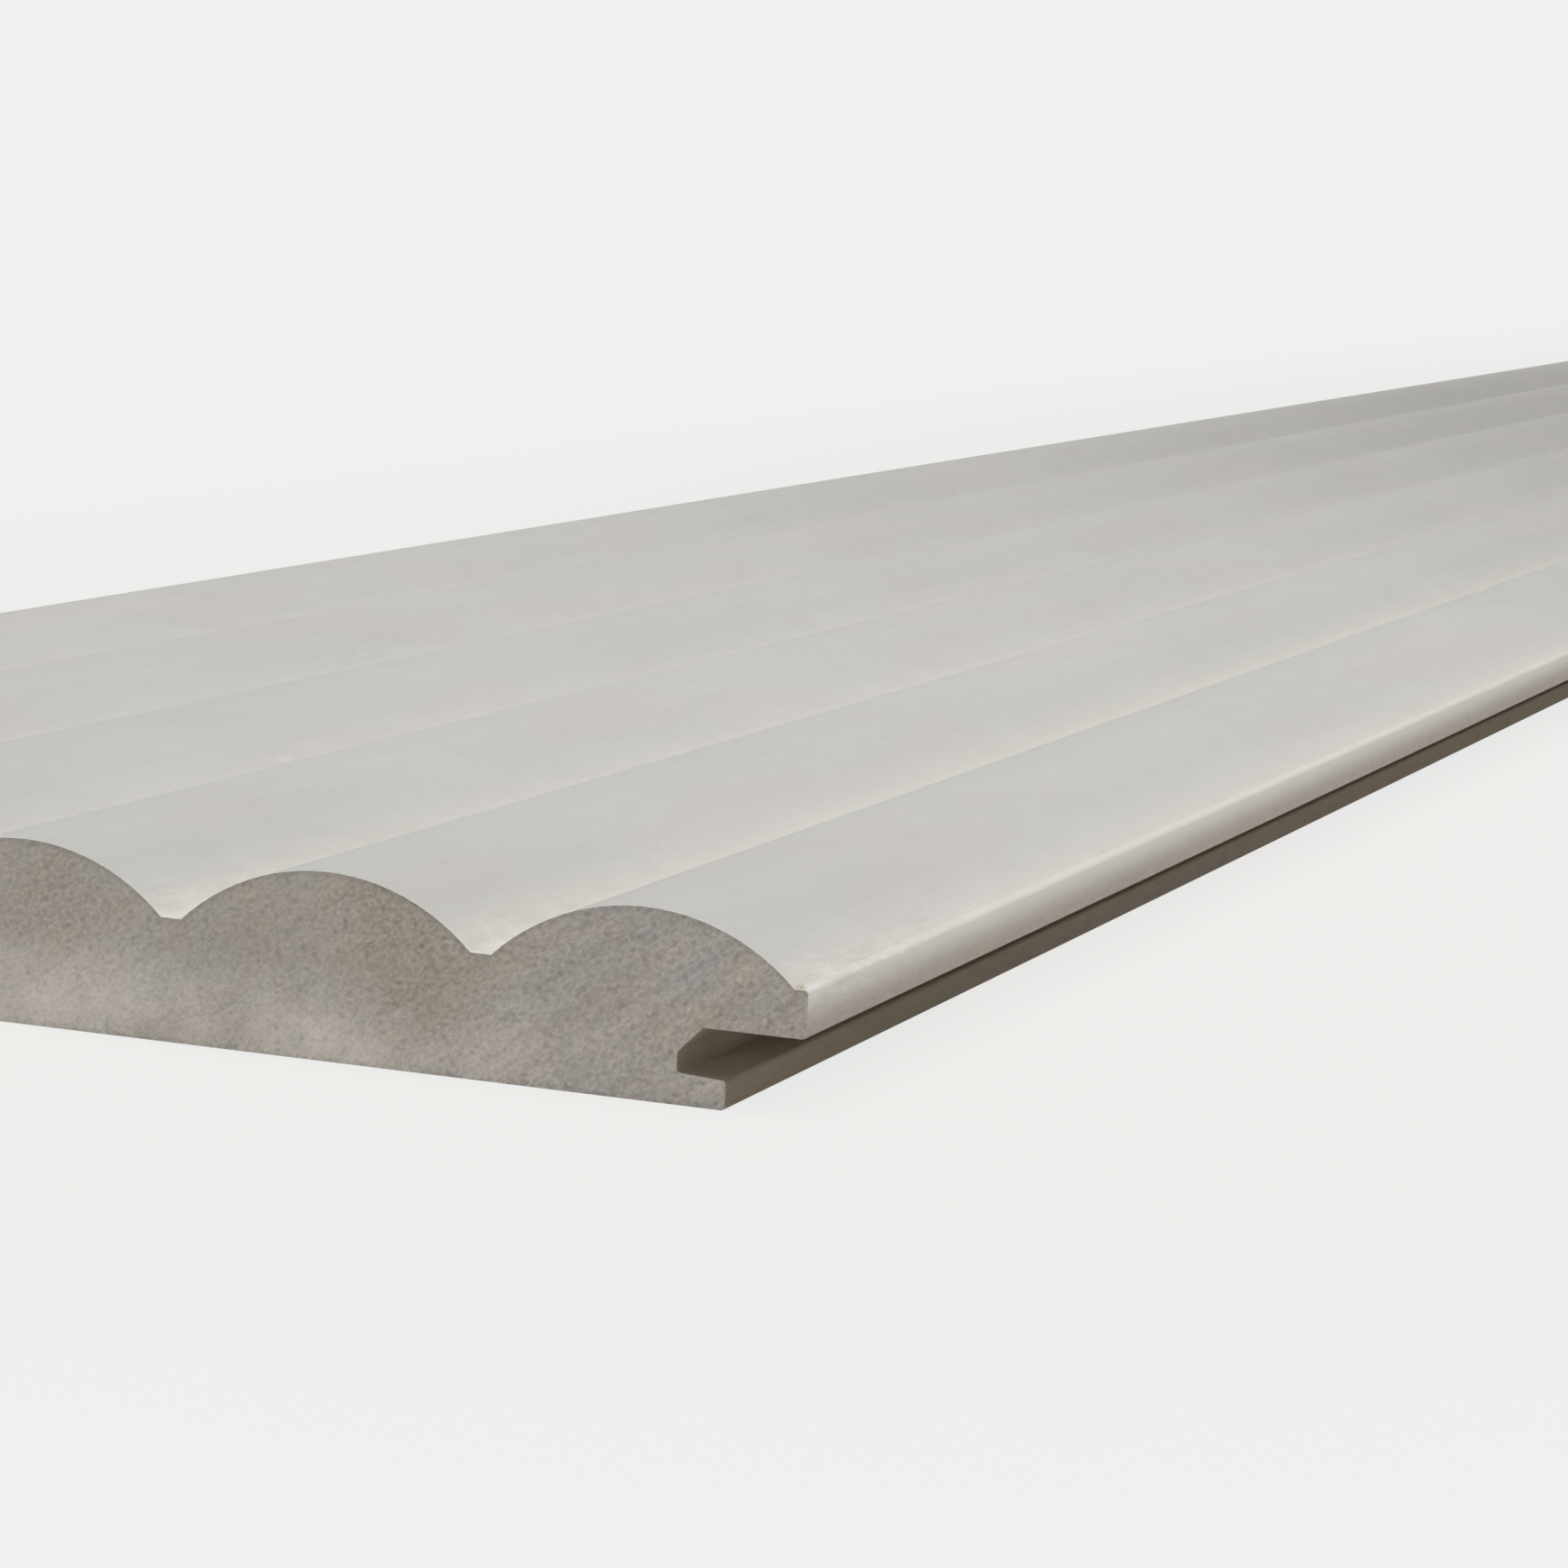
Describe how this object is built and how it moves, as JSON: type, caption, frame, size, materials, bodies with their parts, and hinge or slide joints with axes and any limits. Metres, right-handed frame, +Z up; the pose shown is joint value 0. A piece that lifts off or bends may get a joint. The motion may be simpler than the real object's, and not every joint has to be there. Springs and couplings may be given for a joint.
{
  "type": "fluted wall panel",
  "caption": "Long scalloped wall panel moulded from one primed fibreboard plank, with a tongue along one edge and a matching groove along the other.",
  "frame": {"origin": "centre of the bounding box on the flat back, which lies on the floor", "axes": "+Z up from the back to the fluted face, +Y along the flutes, +X across them towards the grooved edge; the tongue is at -X"},
  "size_m": [0.2164, 2.44, 0.019],
  "materials": {
    "board": "white-grey primer on the moulded face, raw fibreboard on the ends"
  },
  "bodies": {
    "root": {"fluted_panel": "board"}
  },
  "joints": []
}
